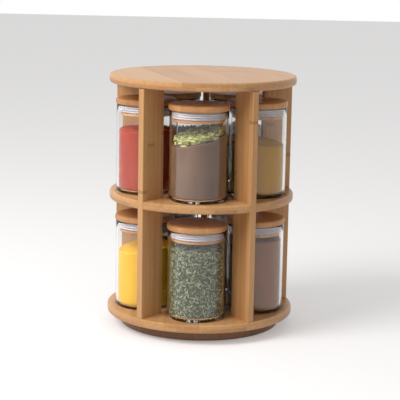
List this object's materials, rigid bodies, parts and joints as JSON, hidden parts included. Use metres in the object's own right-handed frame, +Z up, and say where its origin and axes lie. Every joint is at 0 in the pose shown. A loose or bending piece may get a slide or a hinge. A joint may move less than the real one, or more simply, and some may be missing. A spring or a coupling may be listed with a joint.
{
  "type": "rotating spice rack",
  "caption": "Two-tier round bamboo carousel on a turntable base, with upright dividers and lidded glass spice jars in its bays.",
  "frame": {"origin": "on the table, under the middle of the rack", "axes": "+Z up along the axis that the rack turns on, -Y out through the middle of bay 1, +X to the right of bay 1"},
  "size_m": [0.211, 0.211, 0.2853],
  "materials": {
    "board_bamboo": "clear satin lacquer on laminated bamboo",
    "divider_bamboo": "clear satin lacquer on laminated bamboo",
    "base_bamboo": "clear satin lacquer on carbonised bamboo",
    "lid_bamboo": "oiled bamboo",
    "dowel_wood": "plain birch",
    "glass": "clear",
    "silicone": "translucent silicone",
    "pad_rubber": "matt",
    "ring_aluminium": "satin",
    "steel": "bright",
    "cage_nylon": "natural nylon",
    "spice_fennel": "loose ground or whole spice",
    "spice_russet": "loose ground or whole spice",
    "spice_orange": "loose ground or whole spice",
    "spice_clove": "loose ground or whole spice",
    "spice_turmeric": "loose ground or whole spice",
    "spice_cocoa": "loose ground or whole spice",
    "spice_mustard": "loose ground or whole spice",
    "spice_coriander": "loose ground or whole spice",
    "spice_pepper": "loose ground or whole spice",
    "spice_paprika": "loose ground or whole spice"
  },
  "bodies": {
    "base": {"base_plate": "base_bamboo", "anti_slip_pads": "pad_rubber", "lower_bearing_ring": "ring_aluminium", "lower_ring_screws": "steel"},
    "ball_cage": {"bearing_balls": "steel", "ball_cage": "cage_nylon"},
    "carousel": {"upper_bearing_ring": "ring_aluminium", "upper_ring_screws": "steel", "bottom_shelf": "board_bamboo", "middle_shelf": "board_bamboo", "top_panel": "board_bamboo", "dowels": "dowel_wood", "divider_1": "divider_bamboo", "divider_2": "divider_bamboo", "divider_3": "divider_bamboo", "divider_4": "divider_bamboo", "divider_5": "divider_bamboo"},
    "lower_jar_1": {"lower_jar_1": "glass", "lower_spice_1": "spice_fennel"},
    "lower_lid_1": {"lower_lid_1": "lid_bamboo", "lower_seal_1": "silicone"},
    "lower_jar_2": {"lower_jar_2": "glass", "lower_spice_2": "spice_russet"},
    "lower_lid_2": {"lower_lid_2": "lid_bamboo", "lower_seal_2": "silicone"},
    "lower_jar_3": {"lower_jar_3": "glass", "lower_spice_3": "spice_orange"},
    "lower_lid_3": {"lower_lid_3": "lid_bamboo", "lower_seal_3": "silicone"},
    "lower_jar_4": {"lower_jar_4": "glass", "lower_spice_4": "spice_clove"},
    "lower_lid_4": {"lower_lid_4": "lid_bamboo", "lower_seal_4": "silicone"},
    "lower_jar_5": {"lower_jar_5": "glass", "lower_spice_5": "spice_turmeric"},
    "lower_lid_5": {"lower_lid_5": "lid_bamboo", "lower_seal_5": "silicone"},
    "upper_jar_1": {"upper_jar_1": "glass", "upper_spice_1": "spice_cocoa"},
    "upper_lid_1": {"upper_lid_1": "lid_bamboo", "upper_seal_1": "silicone"},
    "upper_jar_2": {"upper_jar_2": "glass", "upper_spice_2": "spice_mustard"},
    "upper_lid_2": {"upper_lid_2": "lid_bamboo", "upper_seal_2": "silicone"},
    "upper_jar_3": {"upper_jar_3": "glass", "upper_spice_3": "spice_coriander"},
    "upper_lid_3": {"upper_lid_3": "lid_bamboo", "upper_seal_3": "silicone"},
    "upper_jar_4": {"upper_jar_4": "glass", "upper_spice_4": "spice_pepper"},
    "upper_lid_4": {"upper_lid_4": "lid_bamboo", "upper_seal_4": "silicone"},
    "upper_jar_5": {"upper_jar_5": "glass", "upper_spice_5": "spice_paprika"},
    "upper_lid_5": {"upper_lid_5": "lid_bamboo", "upper_seal_5": "silicone"}
  },
  "joints": [
    {"name": "carousel_turn", "type": "hinge", "parent": "base", "child": "carousel", "pos_m": [0, 0, 0.013], "axis": [0, 0, 1], "continuous": true},
    {"name": "ball_cage_turn", "type": "hinge", "parent": "base", "child": "ball_cage", "pos_m": [0, 0, 0.013], "axis": [0, 0, 1], "continuous": true},
    {"name": "lower_jar_1_out", "type": "slide", "parent": "carousel", "child": "lower_jar_1", "axis": [0, -0.9806, 0.1961], "range_m": [0, 0.082]},
    {"name": "lower_lid_1_lift", "type": "slide", "parent": "lower_jar_1", "child": "lower_lid_1", "axis": [0, 0, 1], "range_m": [0, 0.0155]},
    {"name": "lower_jar_2_out", "type": "slide", "parent": "carousel", "child": "lower_jar_2", "axis": [0.9326, -0.303, 0.1961], "range_m": [0, 0.082]},
    {"name": "lower_lid_2_lift", "type": "slide", "parent": "lower_jar_2", "child": "lower_lid_2", "axis": [0, 0, 1], "range_m": [0, 0.0155]},
    {"name": "lower_jar_3_out", "type": "slide", "parent": "carousel", "child": "lower_jar_3", "axis": [0.5764, 0.7933, 0.1961], "range_m": [0, 0.082]},
    {"name": "lower_lid_3_lift", "type": "slide", "parent": "lower_jar_3", "child": "lower_lid_3", "axis": [0, 0, 1], "range_m": [0, 0.0155]},
    {"name": "lower_jar_4_out", "type": "slide", "parent": "carousel", "child": "lower_jar_4", "axis": [-0.5764, 0.7933, 0.1961], "range_m": [0, 0.082]},
    {"name": "lower_lid_4_lift", "type": "slide", "parent": "lower_jar_4", "child": "lower_lid_4", "axis": [0, 0, 1], "range_m": [0, 0.0155]},
    {"name": "lower_jar_5_out", "type": "slide", "parent": "carousel", "child": "lower_jar_5", "axis": [-0.9326, -0.303, 0.1961], "range_m": [0, 0.082]},
    {"name": "lower_lid_5_lift", "type": "slide", "parent": "lower_jar_5", "child": "lower_lid_5", "axis": [0, 0, 1], "range_m": [0, 0.0155]},
    {"name": "upper_jar_1_out", "type": "slide", "parent": "carousel", "child": "upper_jar_1", "axis": [0, -0.9806, 0.1961], "range_m": [0, 0.082]},
    {"name": "upper_lid_1_lift", "type": "slide", "parent": "upper_jar_1", "child": "upper_lid_1", "axis": [0, 0, 1], "range_m": [0, 0.0155]},
    {"name": "upper_jar_2_out", "type": "slide", "parent": "carousel", "child": "upper_jar_2", "axis": [0.9326, -0.303, 0.1961], "range_m": [0, 0.082]},
    {"name": "upper_lid_2_lift", "type": "slide", "parent": "upper_jar_2", "child": "upper_lid_2", "axis": [0, 0, 1], "range_m": [0, 0.0155]},
    {"name": "upper_jar_3_out", "type": "slide", "parent": "carousel", "child": "upper_jar_3", "axis": [0.5764, 0.7933, 0.1961], "range_m": [0, 0.082]},
    {"name": "upper_lid_3_lift", "type": "slide", "parent": "upper_jar_3", "child": "upper_lid_3", "axis": [0, 0, 1], "range_m": [0, 0.0155]},
    {"name": "upper_jar_4_out", "type": "slide", "parent": "carousel", "child": "upper_jar_4", "axis": [-0.5764, 0.7933, 0.1961], "range_m": [0, 0.082]},
    {"name": "upper_lid_4_lift", "type": "slide", "parent": "upper_jar_4", "child": "upper_lid_4", "axis": [0, 0, 1], "range_m": [0, 0.0155]},
    {"name": "upper_jar_5_out", "type": "slide", "parent": "carousel", "child": "upper_jar_5", "axis": [-0.9326, -0.303, 0.1961], "range_m": [0, 0.082]},
    {"name": "upper_lid_5_lift", "type": "slide", "parent": "upper_jar_5", "child": "upper_lid_5", "axis": [0, 0, 1], "range_m": [0, 0.0155]}
  ],
  "couplings": [
    {"joint": "ball_cage_turn", "follows": "carousel_turn", "ratio": 0.5149}
  ]
}
